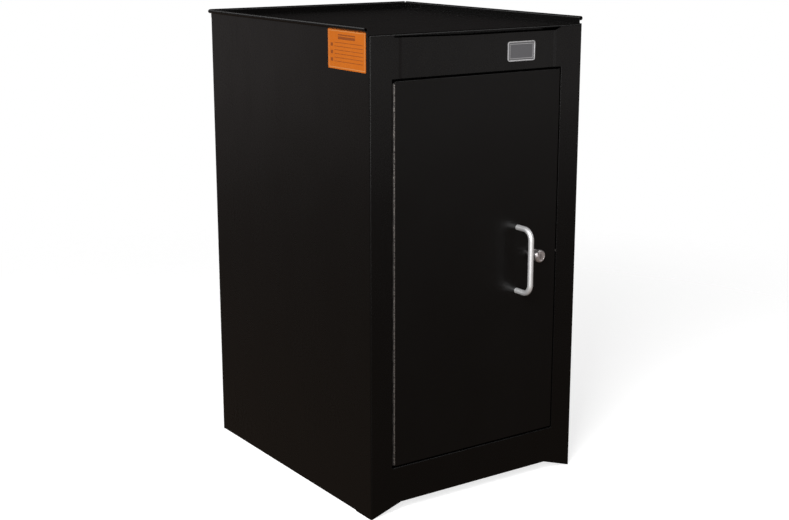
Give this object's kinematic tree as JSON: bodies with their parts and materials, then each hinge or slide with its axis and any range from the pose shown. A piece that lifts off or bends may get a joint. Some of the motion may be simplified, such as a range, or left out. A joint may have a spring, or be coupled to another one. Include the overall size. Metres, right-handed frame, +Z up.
{
  "type": "gun safe",
  "caption": "Black sheet-steel gun safe locker with a rolled-lip top tray, one inset door on a full-height hinge, a wire pull, a cam lock and adjustable shelves.",
  "frame": {"origin": "centre of the body's footprint, on the floor, at the underside of the flat base frame", "axes": "+Z up, +X to the right as seen from the front, +Y towards the back; the door faces -Y"},
  "size_m": [0.4676, 0.6018, 0.8525],
  "materials": {
    "body_paint": "black powder coat, semi-gloss, fine orange peel",
    "door_paint": "black powder coat, semi-gloss, smoother than the body",
    "shelf_paint": "black powder coat, satin",
    "rivet_paint": "black paint over steel rivets",
    "hinge_paint": "black paint, worn bright on the knuckles",
    "zinc_plate": "bright zinc plate",
    "satin_pull": "satin silver",
    "lock_chrome": "polished nickel chrome",
    "rubber": "matt",
    "badge_metal": "satin, plain",
    "orange_label": "printed vinyl sticker, plain"
  },
  "bodies": {
    "cabinet": {"left_side_panel": "body_paint", "right_side_panel": "body_paint", "back_panel": "body_paint", "top_pan": "body_paint", "header_panel": "body_paint", "header_channel": "body_paint", "bottom_rail": "body_paint", "bottom_pan": "body_paint", "base_frame": "body_paint", "lower_shelf": "shelf_paint", "upper_shelf": "shelf_paint", "shelf_standard_front_left": "zinc_plate", "shelf_standard_rear_left": "zinc_plate", "shelf_standard_front_right": "zinc_plate", "shelf_standard_rear_right": "zinc_plate", "shelf_clips": "zinc_plate", "strike_plate": "zinc_plate", "back_rivets": "rivet_paint", "hinge_frame_leaf": "hinge_paint", "hinge_pin": "zinc_plate", "door_bumpers": "rubber", "name_badge": "badge_metal", "side_label": "orange_label"},
    "door": {"door_skin": "door_paint", "hinge_door_leaf": "hinge_paint", "door_stiffener": "door_paint", "lock_backing_plate": "door_paint", "pull_handle": "satin_pull", "handle_screws": "zinc_plate", "lock_housing": "lock_chrome", "lock_spur_washer": "zinc_plate", "lock_nut": "zinc_plate"},
    "lock_plug": {"lock_plug": "lock_chrome", "lock_cam": "zinc_plate", "cam_screw": "zinc_plate"}
  },
  "joints": [
    {"name": "door_swing", "type": "hinge", "parent": "cabinet", "child": "door", "pos_m": [-0.1805, -0.2765, 0.4262], "axis": [0, 0, -1], "range_deg": [0, 175]},
    {"name": "lock_turn", "type": "hinge", "parent": "door", "child": "lock_plug", "pos_m": [0.1266, -0.276, 0.4305], "axis": [0, -1, 0], "range_deg": [0, 90]}
  ]
}
